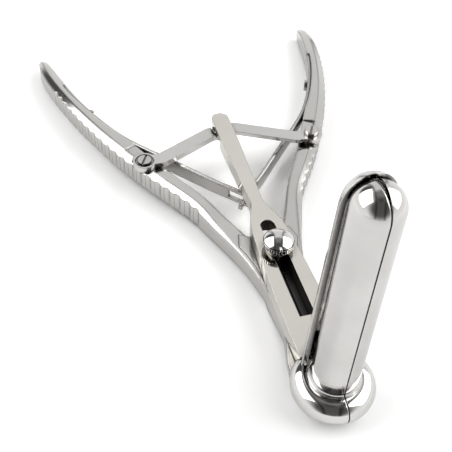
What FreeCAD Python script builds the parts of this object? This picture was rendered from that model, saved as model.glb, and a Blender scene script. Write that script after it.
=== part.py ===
import FreeCAD, Part
import Sketcher
import math
import os

os.makedirs("parts", exist_ok=True)
V = FreeCAD.Vector
doc = FreeCAD.newDocument("speculum")

# Driving sizes, in millimetres and degrees.
# Working frame: the pivot axis is X = Y = 0, the top of the slide plate is Z = 0,
# the blades stand up at the -Y end and the handles run back towards +Y.
SIZES = {
    # attitude on the table: the plate leans by this angle, the levers lie on the surface
    "rest_tilt": 2.4, "rest_level": -14.0,
    # slide plate
    "plate_thick": 5.1, "bar_end": 71.5, "bar_end_radius": 3.3,
    "leg_half": 7.4, "leg_end": -43.5, "tongue_thick": 2.3, "tongue_from": 57.0,
    "slot_clear": 0.1, "slot_rear": 8.8, "slot_front": -27.3,
    # rear blade, a trough standing on the plate
    "rear_axis": -49.1, "rear_front": -47.5, "rear_outer": 8.8, "rear_wall": 1.6,
    "rear_arch_from": 63.1, "rear_arch_half": 7.38, "rear_top": 72.8, "rear_skirt": 1.8,
    # front pair of blades, two halves of a thin tube with a domed end
    "tube_axis": -51.6, "tube_outer": 7.0, "tube_tip_outer": 6.5, "tube_dome_from": 66.1,
    "tube_wall": 0.9, "tube_cut": -47.7, "tube_flare": 7.9, "tube_flare_height": 1.3,
    "tip_gap_front": -58.5, "tip_gap_half": 1.1, "tube_foot": -1.5, "tube_open": -3.0,
    # collar, a half-round ring with a funnel mouth, in two halves
    "collar_ring": 8.1, "collar_round": 4.2, "collar_mouth": 7.7, "seam_gap": 0.24,
    "running_gap": 0.1,
    # levers: half lap at the pivot, arms under the plate, long handles
    "pivot_y": -1.8, "ear_radius": 6.6, "ear_clear": 0.12, "lap_level": -9.5, "lever_top": -5.6,
    "arm_half": 7.0, "arm_knee": -14.0, "arm_rise_y": -33.0, "arm_rise": -10.0,
    "arm_tip_y": -41.0, "arm_tip": -8.0, "handle_height": 9.5, "handle_droop": 7.5, "lever_foot": -20.0,
    "ridge_from": 20.0, "ridge_over": 12.0, "root_ridge": -5.75,
    "under_plate_x": 10.6, "under_plate_y": 21.5,
    "droop_from": 50.0, "droop_to": 145.0, "handle_edge": 1.4,
    "rib_pitch": 4.9, "rib_radius": 2.2, "rib_depth": 0.55, "rib_count": 20, "rib_start": 27.0,
    "recess_from": 47.6, "recess_to": 65.5, "recess_side": 33.0, "recess_turn": 28.0,
    "recess_floor": -5.6, "recess_clear": 0.9,
    # pivot stud, washer and thumb nut
    "stud_radius": 2.4, "stud_fit": 0.05, "stud_top": 4.6, "stud_head_radius": 4.2,
    "stud_head_level": -12.6, "stud_foot": -13.68, "stud_well": 5.0, "washer_radius": 4.2,
    "washer_low": 0.05, "washer_high": 0.85, "nut_low": 0.9, "nut_neck": 3.3, "nut_rim_low": 2.3,
    "nut_rim_high": 3.8,
    "nut_rim": 5.2, "nut_top": 6.2, "knurl_count": 36, "knurl_radius": 0.34, "nut_bore_over": 0.1,
    # links and their pins
    "link_thick": 1.5, "link_left_low": -5.5, "link_right_low": -3.9, "link_width": 5.4,
    "link_eye": 4.3, "link_left_thick": 2.3, "link_sinking": 3.5, "link_inner_eye": 3.9,
    "link_screw_x": 32.8, "link_screw_y": 54.3,
    "rivet_y": 65.0, "rivet_radius": 1.6, "rivet_fit": 0.05, "rivet_foot": -6.3,
    "rivet_foot_radius": 2.5, "rivet_foot_high": -5.55, "rivet_top": -0.6,
    "link_bend_x": 26.5, "link_bend_y": 54.1, "link_turn_x": 5.0, "link_turn_y": 64.6,
    "screw_shank": 1.6, "link_slack": 0.85, "screw_foot": -10.5, "screw_head": 2.55,
    "left_head_low": -3.95, "left_head_high": -2.7, "right_head_low": -2.35, "right_head_high": -0.3,
    "screw_slot": 0.7, "screw_slot_depth": 0.6, "seat_shank_low": -3.2,
    "spacer_radius": 3.6, "spacer_high": -3.95,
    # leaf springs, set on edge, and their screws
    "spring_thick": 1.3, "spring_height": 5.6, "spring_level": -9.8, "spring_follow": 0.6,
    "tongue_height": 2.2, "tongue_past": 4.7, "fork_past": 2.4,
    "window_height": 3.0, "window_back": 7.0, "window_front": 1.3,
    "spring_screw_shank": 1.2, "spring_screw_depth": 3.2,
    "spring_screw_head": 2.3, "spring_screw_low": 0.75, "spring_screw_high": 1.95,
    "spring_half_thick": 0.65, "spring_screw_fit": 0.05, "spring_hole_over": 2.0,
}

# Sizes that follow from the ones above.
FOLLOWING = {
    "slot_width": "=2 * (stud_radius + slot_clear)",
    "nut_bore": "=stud_radius + stud_fit",
    "nut_bore_top": "=stud_top + nut_bore_over",
}

sheet = doc.addObject("Spreadsheet::Sheet", "sizes")
for row, (alias, value) in enumerate((*SIZES.items(), *FOLLOWING.items()), start=1):
    sheet.set("A%d" % row, alias)
    sheet.set("B%d" % row, str(value))
    sheet.setAlias("B%d" % row, alias)
doc.recompute()


def size(alias):
    return float(sheet.get(alias))


# Half outline of the slide plate: X, Y from the far end of the bar to the widest place.
FLANK = [(3.3, 62.0), (3.1, 50.0), (2.7, 38.0), (2.3, 26.0), (2.5, 19.5), (4.1, 15.0), (5.6, 9.5),
         (6.35, 1.0), (6.9, -9.0), (7.4, -22.0)]
# Handle stations along the ribbed outer face: X, Y, width, bevel width, height share.
HANDLE = [
    (7.0, -15.0, 4.6, 0.10, 1.00),
    (8.5, -6.0, 5.2, 0.15, 1.00),
    (10.3, 1.5, 5.8, 0.35, 1.00),
    (12.8, 9.0, 6.4, 0.8, 1.00),
    (16.1, 17.5, 6.0, 1.6, 1.00),
    (19.8, 26.8, 5.9, 2.3, 1.00),
    (29.4, 42.1, 6.9, 2.7, 1.00),
    (38.9, 57.9, 8.2, 3.4, 1.00),
    (47.4, 75.6, 7.8, 3.3, 0.98),
    (54.9, 95.5, 6.7, 2.9, 0.96),
    (60.8, 117.0, 5.9, 2.5, 0.93),
    (63.6, 136.0, 4.6, 1.8, 0.86),
    (63.2, 142.5, 3.2, 1.2, 0.68),
    (61.9, 145.8, 1.2, 0.4, 0.36),
]
# Mid line of each leaf spring, from its seat on the handle to the crossing.
SPRING = [(54.8, 115.5), (51.4, 104.2), (47.8, 94.9), (44.2, 86.9), (37.6, 75.0), (30.0, 65.2),
          (21.8, 56.0), (13.6, 46.6), (5.3, 37.6), (0.0, 32.0)]


def box(x0, x1, y0, y1, z0, z1):
    return Part.makeBox(x1 - x0, y1 - y0, z1 - z0, V(x0, y0, z0))


def prism(points, axis, low, high):
    # Closed polygon pushed along Z (points are X, Y) or along X (points are Y, Z).
    if axis == "z":
        corners = [V(a, b, low) for a, b in points]
        push = V(0, 0, high - low)
    else:
        corners = [V(low, a, b) for a, b in points]
        push = V(high - low, 0, 0)
    return Part.Face(Part.makePolygon(corners + corners[:1])).extrude(push)


def curve(points):
    line = Part.BSplineCurve()
    line.interpolate([V(*point) for point in points])
    return line


def fused(shapes):
    return shapes[0].fuse(shapes[1:]).removeSplitter()


def mirrored(shape):
    return shape.mirror(V(0, 0, 0), V(1, 0, 0))


def droop(y):
    # The handles bend down towards their tails.
    part_way = max(0.0, y - size("droop_from")) / (size("droop_to") - size("droop_from"))
    return -size("handle_droop") * part_way ** 2


def rest_height(y):
    # Level of the table surface under the leaning instrument.
    return size("rest_level") - math.tan(math.radians(size("rest_tilt"))) * y


# Every sub-part takes the same placement on the table, after its own local one.
rest = FreeCAD.Placement(V(0, 0, 0), FreeCAD.Rotation(V(1, 0, 0), size("rest_tilt")))
rest = rest.multiply(FreeCAD.Placement(V(0, 0, -size("rest_level")), FreeCAD.Rotation()))
nodes = []


def node(label, shape):
    part = doc.addObject("Part::Feature", label)
    part.Shape = shape
    nodes.append((part, FreeCAD.Placement()))
    return part


def add_profile(body, role, corners, dome=None):
    # Closed sketch whose corner coordinates are bound to the sheet; None is on the axis.
    # The side numbered dome is an arc whose centre is on the axis.
    plane = [item for item in body.Origin.OriginFeatures if item.Role == role][0]
    sketch = body.newObject("Sketcher::SketchObject", body.Name + "_profile")
    sketch.AttachmentSupport = [(plane, "")]
    sketch.MapMode = "FlatFace"
    points = [V(size(a) if a else 0, size(b) if b else 0, 0) for a, b in corners]
    count = len(points)
    for index in range(count):
        begin, finish = points[index], points[(index + 1) % count]
        if index == dome:
            rise = finish.y - begin.y
            radius = (begin.x ** 2 + rise ** 2) / (2 * rise)
            centre = V(0, finish.y - radius, 0)
            begin_angle = math.atan2(begin.y - centre.y, begin.x)
            circle = Part.Circle(centre, V(0, 0, 1), radius)
            sketch.addGeometry(Part.ArcOfCircle(circle, begin_angle, math.pi / 2), False)
        else:
            sketch.addGeometry(Part.LineSegment(begin, finish), False)
    if dome is not None:
        sketch.addConstraint(Sketcher.Constraint("PointOnObject", dome, 3, -2))
    for index in range(count):
        sketch.addConstraint(Sketcher.Constraint("Coincident", index, 2, (index + 1) % count, 1))
    for index, pair in enumerate(corners):
        for kind, alias, axis, value in (("DistanceX", pair[0], -2, points[index].x),
                                         ("DistanceY", pair[1], -1, points[index].y)):
            if alias:
                number = sketch.addConstraint(Sketcher.Constraint(kind, -1, 1, index, 1, value))
                sketch.setExpression("Constraints[%d]" % number, "sizes." + alias)
            else:
                sketch.addConstraint(Sketcher.Constraint("PointOnObject", index, 1, axis))
    return sketch


def turned(label, corners, local=None, dome=None):
    # A lathe-turned piece: profile of (radius, level) names about its own Z axis.
    body = doc.addObject("PartDesign::Body", label)
    sketch = add_profile(body, "XZ_Plane", corners, dome)
    turn = body.newObject("PartDesign::Revolution", label + "_turned")
    turn.Profile = sketch
    turn.ReferenceAxis = (sketch, ["V_Axis"])
    turn.Angle = 360
    body.Tip = turn
    doc.recompute()
    nodes.append((body, local or FreeCAD.Placement()))
    return body


def screw_slot(body, top_alias, reach):
    # Straight driver slot across the top of a screw head.
    plane = [item for item in body.Origin.OriginFeatures if item.Role == "XY_Plane"][0]
    sketch = body.newObject("Sketcher::SketchObject", body.Name + "_slot_line")
    sketch.AttachmentSupport = [(plane, "")]
    sketch.MapMode = "FlatFace"
    sketch.setExpression("AttachmentOffset.Base.z", "sizes." + top_alias)
    half = size("screw_slot") / 2
    corners = [V(-reach, -half, 0), V(reach, -half, 0), V(reach, half, 0), V(-reach, half, 0)]
    for index in range(4):
        sketch.addGeometry(Part.LineSegment(corners[index], corners[(index + 1) % 4]), False)
    before = body.Shape.Volume
    cut = body.newObject("PartDesign::Pocket", body.Name + "_slot")
    cut.Profile = sketch
    cut.setExpression("Length", "sizes.screw_slot_depth")
    body.Tip = cut
    doc.recompute()
    if body.Shape.Volume > before - 0.1:
        cut.Reversed = True
        doc.recompute()
    if body.Shape.Volume > before - 0.1:
        raise RuntimeError(body.Label + ": the slot cuts nothing")


# Slide plate: long bar with a round end, a shouldered front with two legs, and the slot.
flank = curve([(x, y, 0) for x, y in FLANK]).toShape()
end_centre = size("bar_end") - size("bar_end_radius")
rear_inner = size("rear_outer") - size("rear_wall")
leg_inner = math.sqrt(rear_inner ** 2 - (size("leg_end") - size("rear_axis")) ** 2)
side = [Part.makeLine(V(size("bar_end_radius"), end_centre, 0), V(FLANK[0][0], FLANK[0][1], 0)),
        flank,
        Part.makeLine(V(FLANK[-1][0], FLANK[-1][1], 0), V(size("leg_half"), size("leg_end"), 0)),
        Part.makeLine(V(size("leg_half"), size("leg_end"), 0), V(leg_inner, size("leg_end"), 0))]
other = [edge.mirror(V(0, 0, 0), V(1, 0, 0)) for edge in side]
round_end = Part.Arc(V(size("bar_end_radius"), end_centre, 0), V(0, size("bar_end"), 0),
                     V(-size("bar_end_radius"), end_centre, 0)).toShape()
blade_seat = Part.Arc(V(leg_inner, size("leg_end"), 0), V(0, size("rear_axis") + rear_inner, 0),
                      V(-leg_inner, size("leg_end"), 0)).toShape()
outline = Part.Wire(Part.__sortEdges__(side + other + [round_end, blade_seat]))
plate = Part.Face(outline).extrude(V(0, 0, -size("plate_thick")))
slot_half = size("slot_width") / 2
slot = box(-slot_half, slot_half, size("slot_front") - slot_half, size("slot_rear"), -9, 3)
slot = slot.fuse(Part.makeCylinder(slot_half, 12, V(0, size("slot_rear"), -9)))
plate = plate.cut(slot)
plate = plate.cut(box(-9, 9, size("tongue_from"), 80, -9, -size("tongue_thick")))
rivet_hole = Part.makeCylinder(size("rivet_radius"), 9.4, V(0, size("rivet_y"), size("rivet_top") - 9.4))
plate = plate.cut(rivet_hole)
node("slide_plate", plate)

# Rear blade: a half-round trough with an arched top, standing on the front of the plate.
def trough(inset, bottom):
    base, arch = size("rear_outer") - inset, size("rear_arch_half") - inset
    arch_from, top = size("rear_arch_from"), size("rear_top") - inset
    oval = Part.Ellipse(V(0, 0, top), V(arch, 0, arch_from), V(0, 0, arch_from))
    edges = [Part.makeLine(V(0, 0, bottom), V(base, 0, bottom)),
             Part.makeLine(V(base, 0, bottom), V(arch, 0, arch_from)),
             Part.ArcOfEllipse(oval, 0, math.pi / 2).toShape(),
             Part.makeLine(V(0, 0, top), V(0, 0, bottom))]
    face = Part.Face(Part.Wire(Part.__sortEdges__(edges)))
    face.translate(V(0, size("rear_axis"), 0))
    return face.revolve(V(0, size("rear_axis"), 0), V(0, 0, 1), 360)


rear_blade = trough(0.0, 0.0).cut(trough(size("rear_wall"), -1.0))
rear_blade = rear_blade.cut(box(-12, 12, -70, size("rear_front"), -2, 90))
rear_blade = rear_blade.cut(box(-12, 12, size("rear_front") - 1, size("leg_end"), -2, size("rear_skirt")))
node("rear_blade", rear_blade)

# Front pair: a tapering tube with a hemispherical end, split on X = 0 and open at the back.
def tube_solid(inset, bottom):
    base, tip = size("tube_outer") - inset, size("tube_tip_outer") - inset
    dome = size("tube_dome_from")
    edges = [Part.makeLine(V(0, 0, bottom), V(base, 0, bottom)),
             Part.makeLine(V(base, 0, bottom), V(tip, 0, dome)),
             Part.Arc(V(tip, 0, dome), V(tip * math.sqrt(0.5), 0, dome + tip * math.sqrt(0.5)),
                      V(0, 0, dome + tip)).toShape(),
             Part.makeLine(V(0, 0, dome + tip), V(0, 0, bottom))]
    face = Part.Face(Part.Wire(edges))
    face.translate(V(0, size("tube_axis"), 0))
    return face.revolve(V(0, size("tube_axis"), 0), V(0, 0, 1), 360)


collar_centre = V(0, size("tube_axis"), -size("collar_round"))
ring = Part.makeTorus(size("collar_ring"), size("collar_round"), collar_centre)
flare_low, flare_high = -0.05, size("tube_flare_height")
flare_mid = (size("tube_flare") + size("tube_outer")) / 2 - 0.2
flare_face = Part.Face(Part.Wire([
    Part.makeLine(V(6.2, 0, -1.5), V(size("tube_flare"), 0, -1.5)),
    Part.makeLine(V(size("tube_flare"), 0, -1.5), V(size("tube_flare"), 0, flare_low)),
    Part.Arc(V(size("tube_flare"), 0, flare_low), V(flare_mid, 0, 0.35), V(6.97, 0, flare_high)).toShape(),
    Part.makeLine(V(6.97, 0, flare_high), V(6.2, 0, flare_high)),
    Part.makeLine(V(6.2, 0, flare_high), V(6.2, 0, -1.5))]))
flare_face.translate(V(0, size("tube_axis"), 0))
flare = flare_face.revolve(V(0, size("tube_axis"), 0), V(0, 0, 1), 360)
bore_radius = size("tube_outer") - size("tube_wall")
tube = tube_solid(0.0, size("tube_foot")).fuse(flare)
tube = tube.cut(tube_solid(size("tube_wall"), size("tube_open")))
tube = tube.cut(ring)
tube = tube.cut(box(-20, 20, size("tube_cut"), -20, -9, 90))
tip_gap = [(0, size("tip_gap_front")), (size("tip_gap_half"), size("tube_cut") + 1),
           (-size("tip_gap_half"), size("tube_cut") + 1)]
tube = tube.cut(prism(tip_gap, "z", size("tube_dome_from"), 80))
seam = size("seam_gap") / 2
right_space = box(seam, 30, -90, 20, -30, 90)
right_blade = tube.common(right_space)
solids = sorted(right_blade.Solids, key=lambda solid: solid.Volume)
right_blade = solids[-1]
node("right_blade", right_blade)
node("left_blade", mirrored(right_blade))

# Collar: half-round ring under the front pair, with a funnel mouth and a rear notch.
mouth = Part.makeCone(size("collar_mouth"), bore_radius, 2 * size("collar_round") + 0.2,
                      V(0, size("tube_axis"), -2 * size("collar_round") - 0.1))
collar = ring.cut(mouth)
notch_half = size("leg_half") + 0.2
collar = collar.cut(box(-notch_half, notch_half, size("leg_end") - 0.2, -30, size("lever_top"), 3))
right_collar = collar.common(right_space)
right_collar = sorted(right_collar.Solids, key=lambda solid: solid.Volume)[-1]
node("right_collar", right_collar)
node("left_collar", mirrored(right_collar))


# Levers: each is one forging with an arm under the plate, a half-lap ear and a handle.
def handle_sections():
    path = curve([(x, y, 0) for x, y, width, bevel, share in HANDLE])
    wires = []
    for x, y, width, bevel, share in HANDLE:
        along = path.tangent(path.parameter(V(x, y, 0)))[0]
        inward = V(-along.y, along.x, 0)
        start = min(1.0, max(0.0, (y - size("ridge_from")) / size("ridge_over")))
        ridge = size("root_ridge") + 1.15 * start + droop(y)
        height = size("handle_height") * share
        drop = (size("handle_height") - height) * 0.45
        ridge -= drop
        low = ridge - height
        if y < 30:
            low = rest_height(y) + 0.12
        edge = min(size("handle_edge"), 0.3 * width)
        outer_top = ridge - 0.45 * bevel
        inner_top = ridge - 0.5 * start * share
        places = [(0, low + edge), (0, outer_top), (bevel, ridge), (width, inner_top),
                  (width, low + edge), (width - edge, low), (edge, low)]
        corners = [V(x, y, 0) + inward * across + V(0, 0, level) for across, level in places]
        wires.append(Part.makePolygon(corners + corners[:1]))
    return wires


def lever(ear_low, ear_high, other_low, other_high):
    grip = Part.makeLoft(handle_sections(), True, False)
    half = size("arm_half")
    plan = [(seam, -44.5), (10.2, -44.5), (9.6, -40.0), (8.2, -35.5), (half, -31.0), (half, -15.0),
            (6.7, -11.0), (7.4, -4.0), (9.0, 2.5), (10.4, 6.6), (9.0, 12.0), (4.4, 9.6), (2.7, 7.2), (seam, 0.0)]
    profile = [(-46, size("lever_top")), (30, size("lever_top")), (30, rest_height(30)),
               (size("arm_knee"), rest_height(size("arm_knee"))), (size("arm_rise_y"), size("arm_rise")),
               (size("arm_tip_y"), size("arm_tip")), (-46, size("arm_tip"))]
    root = prism(plan, "z", -20, 0).common(prism(profile, "x", -30, 30))
    ear = Part.makeCylinder(size("ear_radius"), ear_high - ear_low, V(0, size("pivot_y"), ear_low))
    cleared = Part.makeCylinder(size("ear_radius") + size("ear_clear"), other_high - other_low,
                                V(0, size("pivot_y"), other_low))
    under_plate = box(0, size("under_plate_x"), -60, size("under_plate_y"), size("lever_top"), 0)
    body = root.fuse(grip).cut(under_plate).cut(cleared).fuse(ear)
    body = body.cut(ring.common(box(0, 30, -90, 0, -30, 30)))
    body = body.cut(Part.makeCylinder(size("stud_radius") + size("stud_fit"), -2 * size("lever_foot"),
                                      V(0, size("pivot_y"), size("lever_foot"))))
    ground = [(-60, rest_height(-60)), (160, rest_height(160)), (160, -60), (-60, -60)]
    body = body.cut(prism(ground, "x", -80, 80))
    # vertical ribs: hollow grooves along the outer face
    slice_edges = [edge for wire in grip.slice(V(0, 0, 1), -11.0) for edge in wire.Edges]
    rib_line = max(slice_edges, key=lambda edge: edge.CenterOfMass.x * min(1.0, edge.Length / 60.0))
    offset = size("rib_radius") - size("rib_depth")
    steps = 400
    points = [rib_line.valueAt(rib_line.FirstParameter + (rib_line.LastParameter - rib_line.FirstParameter)
                               * step / steps) for step in range(steps + 1)]
    points.sort(key=lambda point: point.y)
    travelled, made = 0.0, 0
    cutters = []
    for before, after in zip(points, points[1:]):
        if after.y < size("rib_start"):
            continue
        travelled += (after - before).Length
        if travelled >= made * size("rib_pitch") and made < size("rib_count"):
            along = (after - before).normalize()
            centre = after + V(along.y, -along.x, 0) * offset
            cutters.append(Part.makeCylinder(size("rib_radius"), 30, V(centre.x, centre.y, -28)))
            made += 1
    body = body.cut(Part.makeCompound(cutters))
    # flat recess for the link eye, and the link screw's hole
    recess = box(15, size("recess_side"), size("recess_from"), size("recess_to"), size("recess_floor"), 5)
    turn_point = V(size("link_screw_x"), size("link_screw_y"), 0)
    recess.rotate(turn_point, V(0, 0, 1), -size("recess_turn"))
    body = body.cut(recess)
    eye_room = size("link_eye") + size("recess_clear")
    body = body.cut(Part.makeCylinder(eye_room, 12, V(turn_point.x, turn_point.y, size("recess_floor"))))
    body = body.cut(Part.makeCylinder(size("screw_shank"), 20, V(turn_point.x, turn_point.y, size("screw_foot"))))
    return body


# Leaf springs: thin strips set on edge, screwed to the handles and crossing in the middle.
def spring_frames():
    path = curve([(x, y, 0) for x, y in SPRING])
    frames = []
    for x, y in SPRING:
        along = path.tangent(path.parameter(V(x, y, 0)))[0]
        level = size("spring_level") + size("spring_follow") * droop(y)
        frames.append((V(x, y, level), V(-along.y, along.x, 0), along))
    return frames


def strip(frames, height):
    half_thick, half_high = size("spring_thick") / 2, height / 2
    wires = []
    for centre, across, along in frames:
        corners = [centre + across * a * half_thick + V(0, 0, b * half_high)
                   for a, b in ((-1, -1), (1, -1), (1, 1), (-1, 1))]
        wires.append(Part.makePolygon(corners + corners[:1]))
    return Part.makeLoft(wires, True, len(wires) == 2)


frames = spring_frames()
cross, cross_side, cross_along = frames[-1]
seat_point, seat_side, seat_along = frames[2]
seat_turn = FreeCAD.Rotation(V(0, 0, 1), V(seat_side.x, seat_side.y, 0))
if V(seat_side.x, seat_side.y, 0).x > 0:
    seat_turn = FreeCAD.Rotation(V(0, 0, 1), V(-seat_side.x, -seat_side.y, 0))
seat_axis = seat_turn.multVec(V(0, 0, 1))
seat_hole = Part.makeCylinder(size("spring_screw_shank") + size("spring_screw_fit"), 12,
                              seat_point - seat_axis * size("spring_screw_depth"), seat_axis)
full = strip(frames[:-1], size("spring_height"))
near_cross = frames[-2][0]
direction = (cross - near_cross).normalize()


def spring_end(past, height):
    # Straight end of a spring, from its last bend to a distance past the crossing.
    half_thick = size("spring_thick") / 2 - 0.01
    bar = box(-1.3, (cross - near_cross).Length + past, -half_thick, half_thick, -height / 2, height / 2)
    bar.Placement = FreeCAD.Placement(near_cross, FreeCAD.Rotation(V(1, 0, 0), direction))
    return bar


full = full.cut(seat_hole)
right_spring = full.fuse(spring_end(size("tongue_past"), size("tongue_height")))
fork = full.fuse(spring_end(size("fork_past"), size("spring_height")))
window = box(-size("window_back"), size("window_front"), -3, 3,
             -size("window_height") / 2, size("window_height") / 2)
window.Placement = FreeCAD.Placement(cross, FreeCAD.Rotation(V(1, 0, 0), direction))
left_spring = mirrored(fork.cut(window))

# The handle is let in by the spring's end, so that the spring lies flush with its inner face.
pocket_wires = []
face_at = size("spring_half_thick") + size("running_gap")
for centre, across, along in [(frames[0][0] - frames[0][2] * 0.6,) + frames[0][1:]] + frames[1:6]:
    corners = [centre + across * a + V(0, 0, b * size("spring_height"))
               for a, b in ((-4, -0.53), (face_at, -0.53), (face_at, 1.6), (-4, 1.6))]
    pocket_wires.append(Part.makePolygon(corners + corners[:1]))
pocket = Part.makeLoft(pocket_wires, True, False)

right_lever = lever(size("lever_foot"), size("lap_level") - size("running_gap") / 2,
                    size("lap_level") - size("running_gap") / 2, 0.0)
left_lever = lever(size("lap_level") + size("running_gap") / 2, size("lever_top"),
                   size("lever_foot"), size("lap_level") + size("running_gap") / 2)
handle_hole = Part.makeCylinder(size("spring_screw_shank"), size("spring_screw_depth") + size("spring_hole_over"),
                                seat_point - seat_axis * size("spring_screw_depth"), seat_axis)
head_well = Part.makeCylinder(size("stud_head_radius") + size("running_gap"), size("stud_well"),
                              V(0, size("pivot_y"), size("stud_head_level") - size("stud_well")))
right_lever = right_lever.cut(pocket).cut(handle_hole).cut(head_well)
left_lever = mirrored(left_lever.cut(pocket).cut(handle_hole))
node("right_handle", right_lever)
node("left_handle", left_lever)
node("right_spring", right_spring)
node("left_spring", left_spring)


# Links: flat dog-legged bars from the handles to the rivet under the end of the plate.
def link(low, thick):
    stops = [(size("link_screw_x"), size("link_screw_y")), (size("link_bend_x"), size("link_bend_y")),
             (size("link_turn_x"), size("link_turn_y")), (0.0, size("rivet_y"))]
    half = size("link_width") / 2
    pieces = [Part.makeCylinder(size("link_eye"), thick, V(stops[0][0], stops[0][1], low)),
              Part.makeCylinder(size("link_inner_eye"), thick, V(stops[3][0], stops[3][1], low))]
    pieces += [Part.makeCylinder(half, thick, V(x, y, low)) for x, y in stops[1:3]]
    for (x0, y0), (x1, y1) in zip(stops, stops[1:]):
        length = math.hypot(x1 - x0, y1 - y0)
        run = box(0, length, -half, half, 0, thick)
        run.Placement = FreeCAD.Placement(V(x0, y0, low), FreeCAD.Rotation(V(1, 0, 0), V(x1 - x0, y1 - y0, 0)))
        pieces.append(run)
    bar = fused(pieces)
    bar = bar.cut(Part.makeCylinder(size("screw_shank") + size("link_slack"), 20, V(stops[0][0], stops[0][1], -12)))
    return bar.cut(Part.makeCylinder(size("rivet_radius") + size("rivet_fit"), 20, V(0, size("rivet_y"), -12)))


def sunk(bar, x, y, radius):
    # Flat-bottomed round sinking in the top of the left link.
    return bar.cut(Part.makeCylinder(radius, 5, V(x, y, size("link_left_low") + size("link_thick"))))


left_link = link(size("link_left_low"), size("link_left_thick"))
left_link = sunk(left_link, 0, size("rivet_y"), size("link_inner_eye") + 0.5)
left_link = sunk(left_link, size("link_screw_x"), size("link_screw_y"), size("link_sinking"))
node("right_link", link(size("link_right_low"), size("link_thick")))
node("left_link", mirrored(left_link))

# Turned pieces at the pivot: stud with a flush foot, washer and knurled thumb nut.
pivot_place = FreeCAD.Placement(V(0, size("pivot_y"), 0), FreeCAD.Rotation())
turned("pivot_stud", [(None, "stud_foot"), ("stud_head_radius", "stud_foot"),
                      ("stud_head_radius", "stud_head_level"), ("stud_radius", "stud_head_level"),
                      ("stud_radius", "stud_top"), (None, "stud_top")], pivot_place)
washer_disc = doc.addObject("Part::Cylinder", "washer_disc")
washer_disc.setExpression("Radius", "sizes.washer_radius")
washer_disc.setExpression("Height", "sizes.washer_high - sizes.washer_low")
washer_disc.setExpression("Placement.Base.z", "sizes.washer_low")
washer_hole = doc.addObject("Part::Cylinder", "washer_hole")
washer_hole.setExpression("Radius", "sizes.stud_radius")
washer_hole.Height = 4
washer_hole.Placement.Base = V(0, 0, -1)
nut_washer = doc.addObject("Part::Cut", "nut_washer")
nut_washer.Base = washer_disc
nut_washer.Tool = washer_hole
nodes.append((nut_washer, pivot_place))

nut = turned("thumb_nut", [("nut_bore", "nut_low"), ("nut_neck", "nut_low"), ("nut_neck", "nut_rim_low"),
                           ("nut_rim", "nut_rim_low"), ("nut_rim", "nut_rim_high"),
                           (None, "nut_top"), (None, "nut_bore_top"), ("nut_bore", "nut_bore_top")],
             pivot_place, dome=4)
knurl_sketch = nut.newObject("Sketcher::SketchObject", "knurl_line")
knurl_plane = [item for item in nut.Origin.OriginFeatures if item.Role == "XY_Plane"][0]
knurl_sketch.AttachmentSupport = [(knurl_plane, "")]
knurl_sketch.MapMode = "FlatFace"
knurl_sketch.setExpression("AttachmentOffset.Base.z", "sizes.nut_rim_high")
knurl_sketch.addGeometry(Part.Circle(V(size("nut_rim") + 0.1, 0, 0), V(0, 0, 1), size("knurl_radius")), False)
plain_volume = nut.Shape.Volume
knurl_cut = nut.newObject("PartDesign::Pocket", "knurl_cut")
knurl_cut.Profile = knurl_sketch
knurl_cut.Length = 4
nut.Tip = knurl_cut
doc.recompute()
if nut.Shape.Volume > plain_volume - 0.01:
    knurl_cut.Reversed = True
    doc.recompute()
knurl = nut.newObject("PartDesign::PolarPattern", "knurl")
knurl.Originals = [knurl_cut]
knurl.Axis = (knurl_sketch, ["N_Axis"])
knurl.Angle = 360
knurl.Occurrences = int(size("knurl_count"))
nut.Tip = knurl
doc.recompute()
if nut.Shape.Volume > plain_volume - 0.1 * size("knurl_count"):
    raise RuntimeError("the knurl cuts nothing")

# Rivet under the end of the plate, link screws, spacer and spring screws.
turned("link_rivet", [(None, "rivet_foot"), ("rivet_foot_radius", "rivet_foot"),
                      ("rivet_foot_radius", "rivet_foot_high"), ("rivet_radius", "rivet_foot_high"),
                      ("rivet_radius", "rivet_top"), (None, "rivet_top")],
       FreeCAD.Placement(V(0, size("rivet_y"), 0), FreeCAD.Rotation()))


def link_screw(side, x):
    low, high = side + "_head_low", side + "_head_high"
    screw = turned(side + "_link_screw", [(None, "screw_foot"), ("screw_shank", "screw_foot"),
                                          ("screw_shank", low), ("screw_head", low),
                                          ("screw_head", high), (None, high)],
                   FreeCAD.Placement(V(x, size("link_screw_y"), 0), FreeCAD.Rotation(V(0, 0, 1), 62)))
    screw_slot(screw, high, 4.0)


link_screw("left", -size("link_screw_x"))
link_screw("right", size("link_screw_x"))
spacer_disc = doc.addObject("Part::Cylinder", "spacer_disc")
spacer_disc.setExpression("Radius", "sizes.spacer_radius")
spacer_disc.setExpression("Height", "sizes.spacer_high - sizes.recess_floor")
spacer_disc.setExpression("Placement.Base.z", "sizes.recess_floor")
spacer_hole = doc.addObject("Part::Cylinder", "spacer_hole")
spacer_hole.setExpression("Radius", "sizes.screw_shank")
spacer_hole.Height = 12
spacer_hole.Placement.Base = V(0, 0, -10)
spacer = doc.addObject("Part::Cut", "right_link_spacer")
spacer.Base = spacer_disc
spacer.Tool = spacer_hole
nodes.append((spacer, FreeCAD.Placement(V(size("link_screw_x"), size("link_screw_y"), 0), FreeCAD.Rotation())))

for label, sign in (("right_spring_screw", 1), ("left_spring_screw", -1)):
    axis = V(sign * seat_axis.x, seat_axis.y, 0)
    place = FreeCAD.Placement(V(sign * seat_point.x, seat_point.y, seat_point.z),
                              FreeCAD.Rotation(V(0, 0, 1), axis))
    screw = turned(label, [(None, "seat_shank_low"), ("spring_screw_shank", "seat_shank_low"),
                           ("spring_screw_shank", "spring_screw_low"),
                           ("spring_screw_head", "spring_screw_low"),
                           ("spring_screw_head", "spring_screw_high"), (None, "spring_screw_high")], place)
    screw_slot(screw, "spring_screw_high", 3.5)
doc.recompute()

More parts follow.
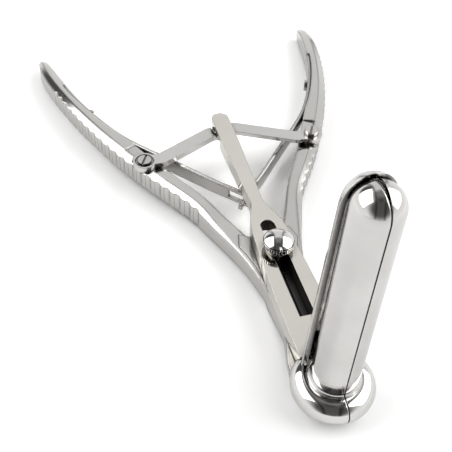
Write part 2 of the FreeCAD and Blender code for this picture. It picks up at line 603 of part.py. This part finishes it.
# Stand everything on the table: lean by the rest tilt, then centre the outline on the origin.
for part, local in nodes:
    part.Placement = rest.multiply(local)
doc.recompute()
outline_box = FreeCAD.BoundBox()
for part, local in nodes:
    outline_box.add(part.Shape.optimalBoundingBox(False, False))
shift = FreeCAD.Placement(V(0, -outline_box.Center.y, -outline_box.ZMin), FreeCAD.Rotation())
for part, local in nodes:
    part.Placement = shift.multiply(rest).multiply(local)
doc.recompute()

for item in doc.Objects:
    if "Invalid" in item.State or "Error" in item.State:
        raise RuntimeError(item.Label + " failed to build")
for part, local in nodes:
    if part.Shape.isNull() or not part.Shape.isValid() or len(part.Shape.Solids) != 1:
        raise RuntimeError("%s has %d solids" % (part.Label, len(part.Shape.Solids)))
for part, local in nodes:
    part.Shape.exportStep("parts/%s.step" % part.Label)
    print(part.Label, round(part.Shape.Volume, 1))
print("box", outline_box, "shift", shift.Base, "lean", rest.Base)
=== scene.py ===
import math

import bpy
import numpy as np
from mathutils import Matrix, Vector

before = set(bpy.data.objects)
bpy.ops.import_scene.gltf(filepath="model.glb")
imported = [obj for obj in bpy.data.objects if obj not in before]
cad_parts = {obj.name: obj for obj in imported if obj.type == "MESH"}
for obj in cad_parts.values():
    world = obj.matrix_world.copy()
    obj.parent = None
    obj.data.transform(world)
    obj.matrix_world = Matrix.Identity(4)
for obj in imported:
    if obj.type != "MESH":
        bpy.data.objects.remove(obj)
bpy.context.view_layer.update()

scene = bpy.context.scene
scene.view_settings.view_transform = "Standard"
scene.view_settings.look = "None"

# Slide plate.
# A flat bar forged in stainless steel, with a milled slot for the pivot stud. It is ground and satin
# finished, a little warmer in tone than the rest, and the metal seen through its slot is rougher and
# darkened with painted shade.

# Working frame of the instrument, in millimetres: the origin lies on the pivot axis at the top of the
# plate. The whole frame leans by TILT on the table, stands LEVEL above it and is moved by SHIFT_Y along
# the table.
TILT = math.radians(2.4)
LEVEL, SHIFT_Y = -14.0, -40.79157
LEAN = np.array([[1, 0, 0], [0, math.cos(TILT), -math.sin(TILT)], [0, math.sin(TILT), math.cos(TILT)]])


def add(tree, kind, sockets=None, **settings):
    # One node with its settings; a socket takes a plain value or the output of another node.
    node = tree.nodes.new(kind)
    for key, value in settings.items():
        setattr(node, key, value)
    for socket, value in (sockets or {}).items():
        if isinstance(value, bpy.types.NodeSocket):
            tree.links.new(value, node.inputs[socket])
        else:
            node.inputs[socket].default_value = value
    return node


def calc(tree, operation, *values):
    return add(tree, "ShaderNodeMath", dict(enumerate(values)), operation=operation).outputs[0]


def span(tree, value, low, high, start=0.3, stop=0.7):
    # The value carried from the range start to stop onto the range low to high.
    return add(tree, "ShaderNodeMapRange", {"Value": value, "From Min": start, "From Max": stop,
                                            "To Min": low, "To Max": high}).outputs["Result"]


def noise(tree, where, scale, detail, rough):
    return add(tree, "ShaderNodeTexNoise", {"Vector": where, "Scale": scale, "Detail": detail,
                                            "Roughness": rough}).outputs["Fac"]


def shader_group(name, inputs, outputs):
    # An empty node group with named sockets, and its input and output nodes.
    group = bpy.data.node_groups.new(name, "ShaderNodeTree")
    for title, default in inputs.items():
        kind = "NodeSocketVector" if isinstance(default, tuple) else "NodeSocketFloat"
        group.interface.new_socket(title, in_out="INPUT", socket_type=kind).default_value = default
    for title, kind in outputs.items():
        group.interface.new_socket(title, in_out="OUTPUT", socket_type=kind)
    return group, group.nodes.new("NodeGroupInput").outputs, group.nodes.new("NodeGroupOutput").inputs


def polishing_marks():
    # Directional marks from the buffing wheel, fine grain, slow waves and a cloudy change of roughness.
    group, given, result = shader_group(
        "polishing_marks",
        {"Stretch": (1.0, 1.0, 1.0), "Cloud Scale": 42.0, "Roughness": 0.1, "Streak": 0.05, "Grain": 0.05,
         "Wave": 0.0},
        {"Cloud": "NodeSocketFloat", "Roughness": "NodeSocketFloat", "Height": "NodeSocketFloat"})
    where = add(group, "ShaderNodeTexCoord").outputs["Object"]
    along = add(group, "ShaderNodeMapping", {"Vector": where, "Scale": given["Stretch"]}).outputs["Vector"]
    lines = noise(group, along, 900, 2.0, 0.6)
    cloud = noise(group, where, given["Cloud Scale"], 3.0, 0.55)
    fine = noise(group, where, 2600, 2.0, 0.7)
    swell = noise(group, where, 150, 1.5, 0.45)
    share = calc(group, "MULTIPLY_ADD", span(group, lines, -1.0, 1.0), 0.18, span(group, cloud, 0.8, 1.2))
    height = calc(group, "MULTIPLY_ADD", lines, given["Streak"], calc(group, "MULTIPLY", fine, given["Grain"]))
    height = calc(group, "MULTIPLY_ADD", swell, given["Wave"], height)
    group.links.new(span(group, cloud, 0.0, 1.0), result["Cloud"])
    group.links.new(calc(group, "MULTIPLY", share, given["Roughness"]), result["Roughness"])
    group.links.new(height, result["Height"])
    return group


def painted_crevice_shade():
    # Painted shade: the colour is darker where other metal stands close by, as where it shows in the polish.
    group, given, result = shader_group("painted_crevice_shade", {"Reach": 0.004, "Darkest": 1.0},
                                        {"Shade": "NodeSocketFloat"})
    near = add(group, "ShaderNodeAmbientOcclusion", {"Distance": given["Reach"]}, samples=8)
    group.links.new(span(group, near.outputs["AO"], given["Darkest"], 1.0, 0.30, 0.85), result["Shade"])
    return group


def painted_edge_shade():
    # Painted shade: thin darker lines along sharp edges, where the surface turns away too fast to stay bright.
    group, given, result = shader_group("painted_edge_shade", {"Radius": 0.0002, "Darkest": 1.0},
                                        {"Shade": "NodeSocketFloat"})
    rounded = add(group, "ShaderNodeBevel", {"Radius": given["Radius"]}, samples=6)
    plain = add(group, "ShaderNodeNewGeometry")
    turned = add(group, "ShaderNodeVectorMath", {0: rounded.outputs["Normal"], 1: plain.outputs["Normal"]},
                 operation="DOT_PRODUCT")
    group.links.new(span(group, turned.outputs["Value"], given["Darkest"], 1.0, 0.95, 0.995), result["Shade"])
    return group


def soft_edges():
    # The surface normal with edges rounded to a radius and the height of the marks laid on top.
    group, given, result = shader_group("soft_edges", {"Height": 0.0, "Radius": 0.0003},
                                        {"Normal": "NodeSocketVector"})
    rounded = add(group, "ShaderNodeBevel", {"Radius": given["Radius"]}, samples=6)
    relief = add(group, "ShaderNodeBump", {"Strength": 1.0, "Distance": 0.00001, "Height": given["Height"],
                                           "Normal": rounded.outputs["Normal"]})
    group.links.new(relief.outputs["Normal"], result["Normal"])
    return group


def instrument_axis(tree, axis):
    # Place along one axis of the working frame, in millimetres.
    row = LEAN[:, axis] * 1000
    dot = add(tree, "ShaderNodeVectorMath", {0: add(tree, "ShaderNodeTexCoord").outputs["Object"], 1: tuple(row)},
              operation="DOT_PRODUCT")
    offset = row[1] * SHIFT_Y / 1000 - (LEVEL if axis == 2 else 0)
    return calc(tree, "SUBTRACT", dot.outputs["Value"], float(offset))


def box_mask():
    # 1 inside a box of the working frame and 0 outside it; an empty box gives 0 everywhere.
    group, given, result = shader_group("box_mask", {"Low": (0.0, 0.0, 0.0), "High": (-1.0, -1.0, -1.0)},
                                        {"Mask": "NodeSocketFloat"})
    low = add(group, "ShaderNodeSeparateXYZ", {0: given["Low"]}).outputs
    high = add(group, "ShaderNodeSeparateXYZ", {0: given["High"]}).outputs
    mask = 1.0
    for axis in range(3):
        here = instrument_axis(group, axis)
        mask = calc(group, "MULTIPLY", mask, calc(group, "GREATER_THAN", here, low[axis]))
        mask = calc(group, "MULTIPLY", mask, calc(group, "LESS_THAN", here, high[axis]))
    group.links.new(mask, result["Mask"])
    return group


MARKS, CREVICE_SHADE_GROUP, EDGE_SHADE_GROUP, SOFT, BOX = polishing_marks(), painted_crevice_shade(), painted_edge_shade(), soft_edges(), box_mask()
PAINTED_GAP_SHADE = 0.17       # how dark the painted shade makes the rough box
RAW_ROUGHNESS = 0.3    # and how much rougher


def tinted(tree, colour, shade):
    # The colour times a grey value.
    return add(tree, "ShaderNodeMix", {"Factor": 1.0, 6: colour, 7: shade}, data_type="RGBA",
               blend_type="MULTIPLY").outputs[2]


def steel(name, light, dark, rough, streak, grain, soft, stretch=(1.0, 1.0, 1.0), cloud_scale=42.0, wave=0.0,
          rough_and_shaded_box=None, gap_shade=1.0, line_shade=1.0, line_radius=0.00022):
    # Stainless steel whose colour and roughness drift between light and dark, with painted shade in
    # crevices and along sharp edges. Inside the given box, in working frame millimetres, it is rougher
    # and its colour is darkened with painted shade.
    material = bpy.data.materials.new(name)
    material.use_nodes = True
    tree = material.node_tree
    surface = tree.nodes["Principled BSDF"]
    marks = add(tree, "ShaderNodeGroup", {"Stretch": stretch, "Cloud Scale": cloud_scale, "Roughness": rough,
                                          "Streak": streak, "Grain": grain, "Wave": wave}, node_tree=MARKS)
    # Painted shade where other metal stands close by.
    close = add(tree, "ShaderNodeGroup", {"Darkest": gap_shade}, node_tree=CREVICE_SHADE_GROUP)
    # Painted shade along sharp edges.
    edges = add(tree, "ShaderNodeGroup", {"Radius": line_radius, "Darkest": line_shade}, node_tree=EDGE_SHADE_GROUP)
    normal = add(tree, "ShaderNodeGroup", {"Height": marks.outputs["Height"], "Radius": soft}, node_tree=SOFT)
    colour = add(tree, "ShaderNodeMix", {"Factor": marks.outputs["Cloud"], 6: (*light, 1), 7: (*dark, 1)},
                 data_type="RGBA").outputs[2]
    colour = tinted(tree, colour, close.outputs["Shade"])
    colour = tinted(tree, colour, edges.outputs["Shade"])
    roughness = marks.outputs["Roughness"]
    if rough_and_shaded_box:
        # Painted shade: inside the box the colour is darkened, and the metal is made rougher.
        inside = add(tree, "ShaderNodeGroup", {"Low": rough_and_shaded_box[0], "High": rough_and_shaded_box[1]}, node_tree=BOX).outputs["Mask"]
        colour = tinted(tree, colour, span(tree, inside, 1.0, PAINTED_GAP_SHADE, 0.0, 1.0))
        roughness = calc(tree, "MULTIPLY_ADD", inside, RAW_ROUGHNESS, roughness)
    surface.inputs["Metallic"].default_value = 1.0
    tree.links.new(colour, surface.inputs["Base Color"])
    tree.links.new(roughness, surface.inputs["Roughness"])
    tree.links.new(normal.outputs["Normal"], surface.inputs["Normal"])
    return material


SHARP_FROM = math.radians(28)    # edges that turn more than this stay sharp


def finish(material, *names):
    # Gives pieces their material and smooth shading between their sharp edges.
    for name in names:
        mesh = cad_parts[name].data
        mesh.materials.clear()
        mesh.materials.append(material)
        mesh.shade_smooth()
        mesh.set_sharp_from_angle(angle=SHARP_FROM)


# Painted shade darkens the plate in crevices, along sharp edges and under the slot.
satin = steel("satin_steel", (0.86, 0.835, 0.775), (0.80, 0.775, 0.715), 0.09, 0.06, 0.06, 0.0003,
              stretch=(1.0, 0.12, 1.0), rough_and_shaded_box=((-2.7, -30.2, -5.4), (2.7, 11.6, -0.25)),
              gap_shade=0.3, line_shade=0.55)
finish(satin, "slide_plate")

# Rear blade and front blades.
# Three thin blades of stainless steel: a trough brazed to the front of the plate, and two half tubes with
# a domed end, one on each lever. They are pressed and buffed upwards, so the marks run along them and the
# surface waves a little. The seam between the half tubes is rougher and darkened with painted shade,
# and crevices carry painted shade too.
blade_steel = steel("blade_steel", (0.77, 0.755, 0.735), (0.67, 0.655, 0.635), 0.09, 0.10, 0.03, 0.0004,
                    stretch=(1.0, 1.0, 0.08), cloud_scale=60.0, wave=8.0,
                    rough_and_shaded_box=((-0.22, -62.0, -2.0), (0.22, -47.5, 90.0)), gap_shade=0.12)
finish(blade_steel, "rear_blade", "left_blade", "right_blade")

# Collar.
# A round ring with a funnel mouth, in two halves that each belong to a front blade. It is turned from
# stainless steel and polished to a mirror. The seam where the halves meet is rougher and darkened with
# painted shade, and crevices carry painted shade too.
mirror = steel("mirror_steel", (0.79, 0.78, 0.76), (0.74, 0.73, 0.71), 0.03, 0.03, 0.01, 0.0004,
               stretch=(1.0, 1.0, 0.2), wave=6.0, rough_and_shaded_box=((-0.2, -64.0, -16.0), (0.2, -48.0, 2.0)), gap_shade=0.12)
finish(mirror, "left_collar", "right_collar")

# Levers and their leaf springs.
# Each lever is one steel forging: front arm, half-lap ear at the pivot and a ribbed handle, filed and
# then polished. The leaf springs are strips of spring steel on edge, screwed to the handles and crossing
# under the plate.
# Painted shade: the lever tops under the plate are rougher and darkened, and crevices and rib edges are darkened
# too.
handle_steel = steel("handle_steel", (0.72, 0.705, 0.68), (0.65, 0.635, 0.61), 0.11, 0.08, 0.04, 0.0014,
                     stretch=(1.0, 0.12, 1.0), rough_and_shaded_box=((-4.3, -46.0, -6.4), (4.3, 14.0, -5.3)),
                     gap_shade=0.2, line_shade=0.08, line_radius=0.0004)
finish(handle_steel, "left_handle", "right_handle", "left_spring", "right_spring")

# Pivot stud, washer and screws.
# Small turned parts of stainless steel. The stud holds the levers to the plate, the slotted screws hold
# the links and springs, and the rivet under the end of the plate is closed by hand. Washers are satin
# like the plate.
# Painted shade darkens the crevices and sharp edges of the stud and screws.
screw_steel = steel("screw_steel", (0.74, 0.72, 0.69), (0.64, 0.62, 0.59), 0.06, 0.05, 0.05, 0.0003,
                    gap_shade=0.08, line_shade=0.3)
finish(screw_steel, "pivot_stud", "link_rivet", "left_link_screw", "right_link_screw", "left_spring_screw",
       "right_spring_screw")
finish(satin, "nut_washer", "right_link_spacer")

# Thumb nut.
# A domed nut turned from stainless steel and polished, with a fine knurl pressed round its rim. The
# grooves of the knurl are darkened with painted shade between the bright teeth.
GROOVE_NEAR, GROOVE_FAR = 4.85, 5.12    # distance of the groove floors from the pivot, mm
GROOVE_SHADE = 0.08
PIVOT_Y = -1.8
nut_steel = steel("nut_steel", (0.80, 0.79, 0.77), (0.76, 0.75, 0.73), 0.045, 0.02, 0.01, 0.00006)
nut_tree = nut_steel.node_tree
flat = add(nut_tree, "ShaderNodeCombineXYZ", {0: instrument_axis(nut_tree, 0),
                                              1: calc(nut_tree, "SUBTRACT", instrument_axis(nut_tree, 1), PIVOT_Y)})
radius = add(nut_tree, "ShaderNodeVectorMath", {0: flat.outputs[0]}, operation="LENGTH").outputs["Value"]
groove = calc(nut_tree, "COMPARE", radius, (GROOVE_NEAR + GROOVE_FAR) / 2, (GROOVE_FAR - GROOVE_NEAR) / 2)
nut_colour = nut_tree.nodes["Principled BSDF"].inputs["Base Color"]
# Painted shade in the ring of knurl grooves.
grooved = tinted(nut_tree, nut_colour.links[0].from_socket, span(nut_tree, groove, 1.0, GROOVE_SHADE, 0.0, 1.0))
nut_tree.links.new(grooved, nut_colour)
finish(nut_steel, "thumb_nut")

# Links.
# Two flat dog-legged bars, stamped from stainless sheet and ground, that tie the handles to the end of
# the plate.
# Painted shade darkens the crevices and sharp edges of the links.
link_steel = steel("link_steel", (0.78, 0.765, 0.745), (0.72, 0.705, 0.685), 0.16, 0.06, 0.06, 0.0003,
                   stretch=(0.3, 0.3, 1.0), gap_shade=0.25, line_shade=0.4)
finish(link_steel, "left_link", "right_link")

# Table top.
# A sheet of plain white paper under the instrument. It is a little brighter where the camera sees it, so
# that it runs into the white background, and a little darker where polished steel shows it.
TABLE_SIZE = 1.4
PAPER, PAPER_IN_STEEL, PAPER_SEEN = 0.80, 0.92, 1.22
bpy.ops.mesh.primitive_plane_add(size=TABLE_SIZE, location=(0, 0, 0))
table = bpy.context.object
table.name = "table_top"
paper = bpy.data.materials.new("table_white")
paper.use_nodes = True
paper_tree = paper.node_tree
seen = add(paper_tree, "ShaderNodeLightPath").outputs
surface = add(paper_tree, "ShaderNodeBsdfDiffuse", {"Color": (PAPER, PAPER, PAPER, 1)}).outputs[0]
for ray, value in (("Is Glossy Ray", PAPER_IN_STEEL), ("Is Camera Ray", PAPER_SEEN)):
    sheet = add(paper_tree, "ShaderNodeBsdfDiffuse", {"Color": (value, value, value, 1)}).outputs[0]
    surface = add(paper_tree, "ShaderNodeMixShader", {0: seen[ray], 1: surface, 2: sheet}).outputs[0]
paper_tree.links.new(surface, paper_tree.nodes["Material Output"].inputs["Surface"])
table.data.materials.append(paper)

# Camera of the photograph.
# It stands above and in front of the blades, turned a little about its own axis. Its place is in the
# working frame.
AZIMUTH, ELEVATION, ROLL = math.radians(-18.034), math.radians(45.973), math.radians(2.998)
EYE = np.array([-66.6, -150.7, 176.8])
FOCAL_PIXELS, PICTURE_PIXELS, SENSOR = 737.17, 452.0, 36.0


def place(point):
    # A point of the working frame, in millimetres, in the part's own frame, in metres.
    return (LEAN @ (point - (0, 0, LEVEL)) + (0, SHIFT_Y, 0)) / 1000


ahead = np.array([-math.sin(AZIMUTH) * math.cos(ELEVATION), math.cos(AZIMUTH) * math.cos(ELEVATION),
                  -math.sin(ELEVATION)])
level_right = np.array([math.cos(AZIMUTH), math.sin(AZIMUTH), 0.0])
level_up = np.cross(level_right, ahead)
right = level_right * math.cos(ROLL) + level_up * math.sin(ROLL)
up = -level_right * math.sin(ROLL) + level_up * math.cos(ROLL)
camera_data = bpy.data.cameras.new("photo_camera")
camera_data.sensor_width = SENSOR
camera_data.lens = FOCAL_PIXELS * SENSOR / PICTURE_PIXELS
camera_data.clip_start, camera_data.clip_end = 0.01, 20.0
camera = bpy.data.objects.new("photo_camera", camera_data)
scene.collection.objects.link(camera)
turn = LEAN @ np.column_stack([right, up, -ahead])
camera.matrix_world = Matrix.Translation(Vector(place(EYE))) @ Matrix(turn.tolist()).to_4x4()
scene.camera = camera

# Room.
# A pale room, darker overhead, behind the camera and in a patch on the far left, with darker strips
# beside the softboxes. The camera itself sees plain white behind the table.
VIEW = np.array([0.31, 0.95, 0.0])      # along the table, away from the camera
SIDE = np.array([0.95, -0.31, 0.0])     # to the right of it
UPWARD = np.array([0.0, 0.0, 1.0])
room_world = bpy.data.worlds.new("light_tent")
scene.world = room_world
room_world.use_nodes = True
room = room_world.node_tree
room.nodes.clear()
around = add(room, "ShaderNodeTexCoord").outputs["Generated"]


def smooth(value, start, stop, low, high):
    return add(room, "ShaderNodeMapRange", {"Value": value, "From Min": start, "From Max": stop, "To Min": low,
                                            "To Max": high}, interpolation_type="SMOOTHSTEP").outputs["Result"]


def cosine(direction):
    aim = tuple(Vector(direction).normalized())
    return add(room, "ShaderNodeVectorMath", {0: around, 1: aim}, operation="DOT_PRODUCT").outputs["Value"]


def dark_patch(direction, start, stop, depth):
    # Falls from 1 to depth as the cosine to a direction goes from start to stop.
    return smooth(cosine(direction), start, stop, 1.0, depth)


def dark_strips(direction, start, stop, depth):
    # Falls to depth midway between two sizes of the cosine to a direction, on both sides.
    size = calc(room, "ABSOLUTE", cosine(direction))
    away = calc(room, "ABSOLUTE", calc(room, "SUBTRACT", size, (start + stop) / 2))
    return smooth(away, 0.0, (stop - start) / 2, depth, 1.0)


glow = smooth(cosine(UPWARD), -0.1, 0.6, 0.97, 0.74)
for shade in (dark_patch(UPWARD, 0.86, 0.97, 0.30),
              dark_patch(-VIEW + 0.75 * UPWARD, 0.55, 0.90, 0.12),
              dark_patch(-0.62 * SIDE + 0.58 * VIEW + 0.53 * UPWARD, 0.90, 0.97, 0.10),
              dark_strips(SIDE, 0.18, 0.42, 0.35)):
    glow = calc(room, "MULTIPLY", glow, shade)
tent = add(room, "ShaderNodeBackground", {"Color": glow, "Strength": 1.0}).outputs[0]
white = add(room, "ShaderNodeBackground", {"Color": (1, 1, 1, 1), "Strength": 1.0}).outputs[0]
seen = add(room, "ShaderNodeLightPath").outputs["Is Camera Ray"]
shown = add(room, "ShaderNodeMixShader", {0: seen, 1: tent, 2: white}).outputs[0]
add(room, "ShaderNodeOutputWorld", {"Surface": shown})

# Softboxes.
# Two large boxes of cloth with a lamp in each, left and right of the line of sight and aimed at the
# instrument. They show as the white patches in every polished curve.
BOX_AWAY, BOX_WIDE, BOX_HIGH = 0.9, 1.0, 0.80
BOX_OUT, BOX_BACK, BOX_UP = 0.74, 0.06, 0.67

for name, side, radiance in (("left_softbox", -1, 1.9), ("right_softbox", 1, 2.1)):
    box_at = Vector(side * BOX_OUT * SIDE + BOX_BACK * VIEW + BOX_UP * UPWARD).normalized() * BOX_AWAY
    lamp = bpy.data.lights.new(name, "AREA")
    lamp.shape = "RECTANGLE"
    lamp.size, lamp.size_y = BOX_WIDE, BOX_HIGH
    lamp.energy = radiance * BOX_WIDE * BOX_HIGH * math.pi
    softbox = bpy.data.objects.new(name, lamp)
    scene.collection.objects.link(softbox)
    softbox.location = box_at
    softbox.rotation_mode = "QUATERNION"
    softbox.rotation_quaternion = (-box_at).to_track_quat("-Z", "Y")
